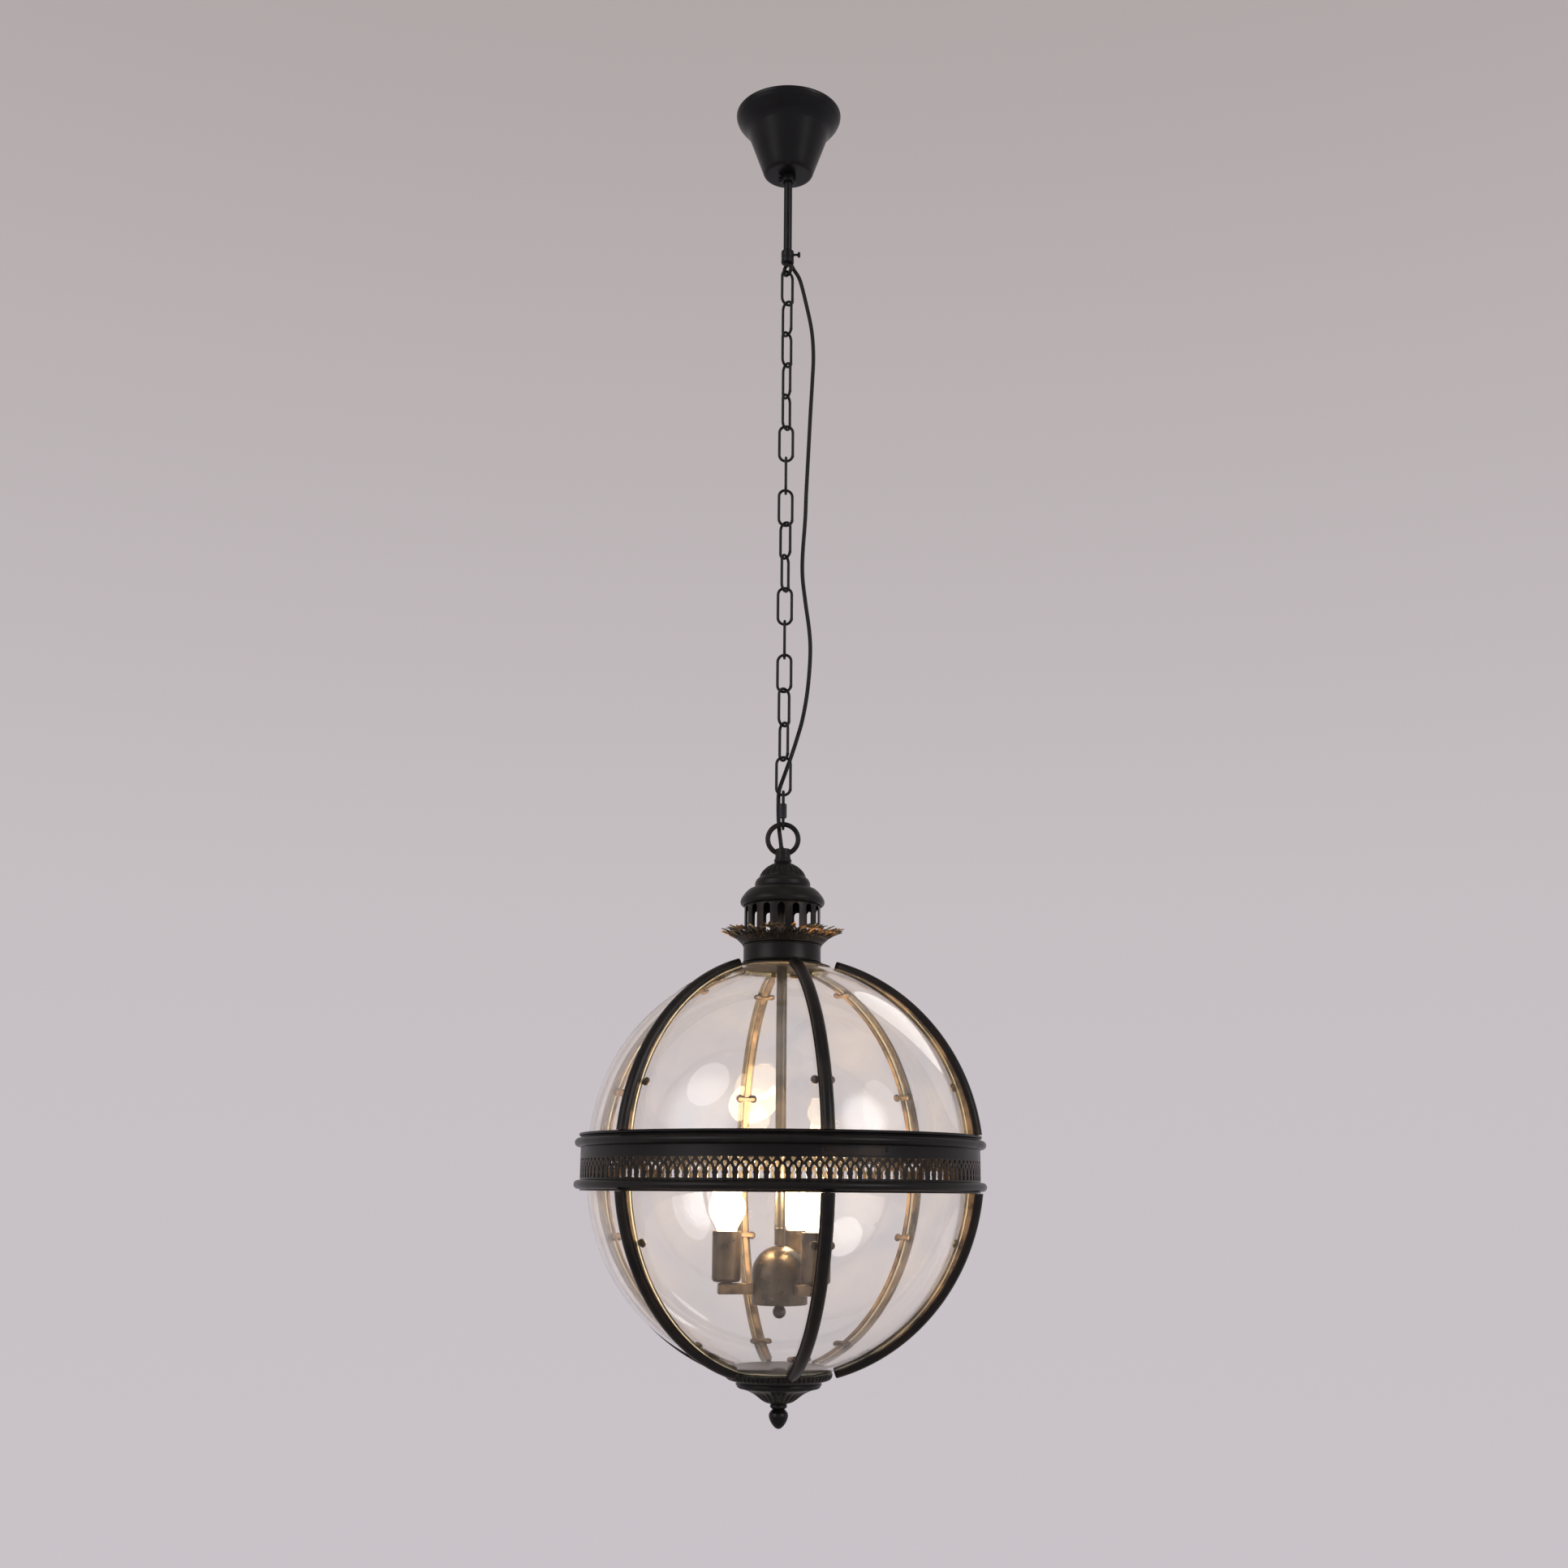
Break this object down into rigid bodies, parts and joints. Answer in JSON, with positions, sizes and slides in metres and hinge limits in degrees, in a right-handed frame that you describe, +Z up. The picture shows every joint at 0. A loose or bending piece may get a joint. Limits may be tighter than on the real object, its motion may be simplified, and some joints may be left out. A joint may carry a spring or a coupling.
{
  "type": "hanging lantern",
  "caption": "Globe lantern of curved clear panes in a ribbed, banded metal cage, hung from a cone canopy by a stem, a link chain and a ring.",
  "frame": {"origin": "middle of the ceiling bracket's upper face, in the ceiling's plane", "axes": "+Z up, -Y towards the lantern's front, +X to its right"},
  "size_m": [0.4009, 0.401, 1.3983],
  "materials": {
    "black_metal": "satin black-bronze lacquer, worn brown on the edges",
    "canopy_black": "satin black lacquer",
    "chain_black": "black lacquer over steel wire",
    "aged_gold": "rubbed gold-brown over black",
    "dark_bronze": "textured dark bronze lacquer",
    "zinc_steel": "zinc plated",
    "nut_steel": "dark plated steel",
    "ceramic_white": "glazed",
    "cable_black": "matt sheath",
    "clear_glass": "clear, faintly green on its edges",
    "bulb_glass": "lit, warm white"
  },
  "bodies": {
    "ceiling_part": {"ceiling_bracket": "zinc_steel", "bracket_nut": "zinc_steel", "terminal_block": "ceramic_white", "stem_tube": "canopy_black", "hook_loop": "canopy_black", "power_cable": "cable_black"},
    "hook_screw": {"hook_screw": "canopy_black"},
    "canopy": {"canopy": "canopy_black", "canopy_collar": "canopy_black"},
    "first_link": {"link_01": "chain_black"},
    "chain": {"link_02": "chain_black", "link_03": "chain_black", "link_04": "chain_black", "link_05": "chain_black", "link_06": "chain_black", "link_07": "chain_black", "link_08": "chain_black", "link_09": "chain_black", "link_10": "chain_black", "link_11": "chain_black", "link_12": "chain_black", "link_13": "chain_black", "link_14": "chain_black", "link_15": "chain_black", "link_16": "chain_black"},
    "quick_link": {"quick_link": "chain_black"},
    "quick_link_nut": {"quick_link_nut": "nut_steel"},
    "lantern": {"hanging_ring": "black_metal", "dome_cap": "black_metal", "vent_drum": "black_metal", "crown": "aged_gold", "neck_collar": "black_metal", "top_plate": "black_metal", "centre_tube": "dark_bronze", "hub_dome": "dark_bronze", "lamp_arms": "dark_bronze", "lamp_holders": "dark_bronze", "lamp_sockets": "ceramic_white", "band": "black_metal", "upper_bead": "black_metal", "lower_bead": "black_metal", "band_rivets": "black_metal", "upper_ribs": "black_metal", "lower_ribs": "black_metal", "upper_strips": "dark_bronze", "lower_strips": "dark_bronze", "upper_glass": "clear_glass", "lower_glass": "clear_glass", "upper_clips": "dark_bronze", "lower_clips": "dark_bronze", "bottom_plate": "black_metal", "bottom_cup": "black_metal"},
    "hub_finial": {"hub_finial": "dark_bronze"},
    "bulb_1": {"bulb_1": "bulb_glass"},
    "bulb_2": {"bulb_2": "bulb_glass"},
    "bulb_3": {"bulb_3": "bulb_glass"},
    "acorn_finial": {"acorn_finial": "black_metal"}
  },
  "joints": [
    {"name": "loop_swing", "type": "hinge", "parent": "ceiling_part", "child": "first_link", "pos_m": [0, 0, -0.1964], "axis": [0.6157, -0.788, 0], "range_deg": [-25, 25], "deforming": ["power_cable"]},
    {"name": "chain_swing", "type": "hinge", "parent": "first_link", "child": "chain", "pos_m": [0, 0, -0.2326], "axis": [0.788, 0.6157, 0], "range_deg": [-25, 25], "deforming": ["power_cable"]},
    {"name": "quick_link_swing", "type": "hinge", "parent": "chain", "child": "quick_link", "pos_m": [0, 0, -0.7831], "axis": [1, 0, 0], "range_deg": [-25, 25], "deforming": ["power_cable"]},
    {"name": "lantern_swing", "type": "hinge", "parent": "quick_link", "child": "lantern", "pos_m": [0, 0, -0.81815], "axis": [0, 1, 0], "range_deg": [-25, 25], "deforming": ["power_cable"]},
    {"name": "canopy_slide", "type": "slide", "parent": "ceiling_part", "child": "canopy", "axis": [0, 0, -1], "range_m": [0, 0.08]},
    {"name": "quick_link_nut_slide", "type": "slide", "parent": "quick_link", "child": "quick_link_nut", "axis": [0, 0, 1], "range_m": [0, 0.0065]},
    {"name": "hook_screw_turn", "type": "hinge", "parent": "ceiling_part", "child": "hook_screw", "pos_m": [0.005, 0, -0.172], "axis": [1, 0, 0], "continuous": true},
    {"name": "hub_finial_turn", "type": "hinge", "parent": "lantern", "child": "hub_finial", "pos_m": [0, 0, -1.2913], "axis": [0, 0, 1], "continuous": true},
    {"name": "acorn_turn", "type": "hinge", "parent": "lantern", "child": "acorn_finial", "pos_m": [0, 0, -1.3893], "axis": [0, 0, 1], "continuous": true},
    {"name": "bulb_1_lift", "type": "slide", "parent": "lantern", "child": "bulb_1", "axis": [0, 0, 1], "range_m": [0, 0.03]},
    {"name": "bulb_2_lift", "type": "slide", "parent": "lantern", "child": "bulb_2", "axis": [0, 0, 1], "range_m": [0, 0.03]},
    {"name": "bulb_3_lift", "type": "slide", "parent": "lantern", "child": "bulb_3", "axis": [0, 0, 1], "range_m": [0, 0.03]}
  ]
}
